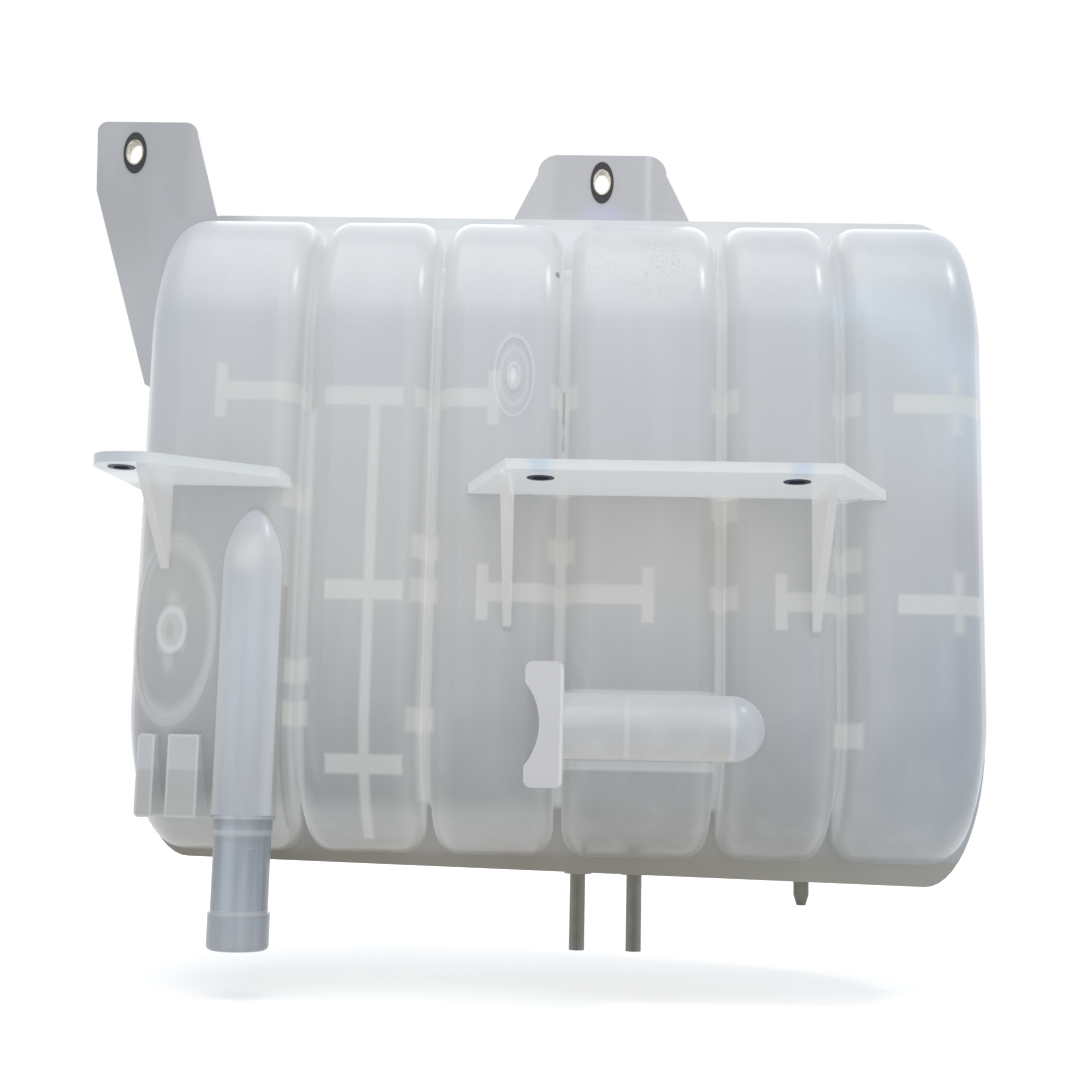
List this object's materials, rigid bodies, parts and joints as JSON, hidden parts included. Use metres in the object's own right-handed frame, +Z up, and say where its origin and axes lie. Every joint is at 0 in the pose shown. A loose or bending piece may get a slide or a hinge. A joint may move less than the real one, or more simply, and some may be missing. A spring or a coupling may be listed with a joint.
{
  "type": "coolant expansion tank",
  "caption": "Lobed translucent plastic tank for engine coolant, with bracket lugs and shelves, hose spigots, a sensor sleeve and a screw cap.",
  "frame": {"origin": "centre of the oval bolt eye in the centre lug, on the weld plane between the two half shells", "axes": "+X along the tank away from the left lug, +Z up as the tank is fitted, -Y towards the side that carries the shelves, the duct and the sensor sleeve"},
  "size_m": [0.534, 0.268, 0.4907],
  "materials": {
    "natural_plastic": "milky, satin",
    "spigot_plastic": "milky, satin",
    "nipple_plastic": "satin",
    "rubber": "matt",
    "steel": "dull",
    "dark_bush": "matt",
    "cap_plastic": "satin",
    "plug_plastic": "satin"
  },
  "bodies": {
    "tank": {"front_shell": "natural_plastic", "rear_shell": "natural_plastic", "left_lug_grommet": "rubber", "left_lug_sleeve": "steel", "centre_lug_grommet": "rubber", "centre_lug_sleeve": "steel", "left_shelf_bush": "dark_bush", "centre_shelf_bush_left": "dark_bush", "centre_shelf_bush_right": "dark_bush", "outlet_spigot": "spigot_plastic", "vent_nipple": "nipple_plastic", "return_nipple": "nipple_plastic", "drain_stub": "nipple_plastic"},
    "plug": {"cap_insert": "plug_plastic", "cap_seal": "rubber"},
    "cap": {"cap_shell": "cap_plastic"}
  },
  "joints": [
    {"name": "cap_lift", "type": "slide", "parent": "tank", "child": "plug", "axis": [0, 1, 0], "range_m": [0, 0.006]},
    {"name": "cap_turn", "type": "hinge", "parent": "plug", "child": "cap", "pos_m": [0.0995, 0.104, -0.108], "axis": [0, 1, 0], "range_deg": [0, 432]}
  ],
  "couplings": [
    {"joint": "cap_lift", "follows": "cap_turn", "m_per_rad": 0.00079}
  ]
}
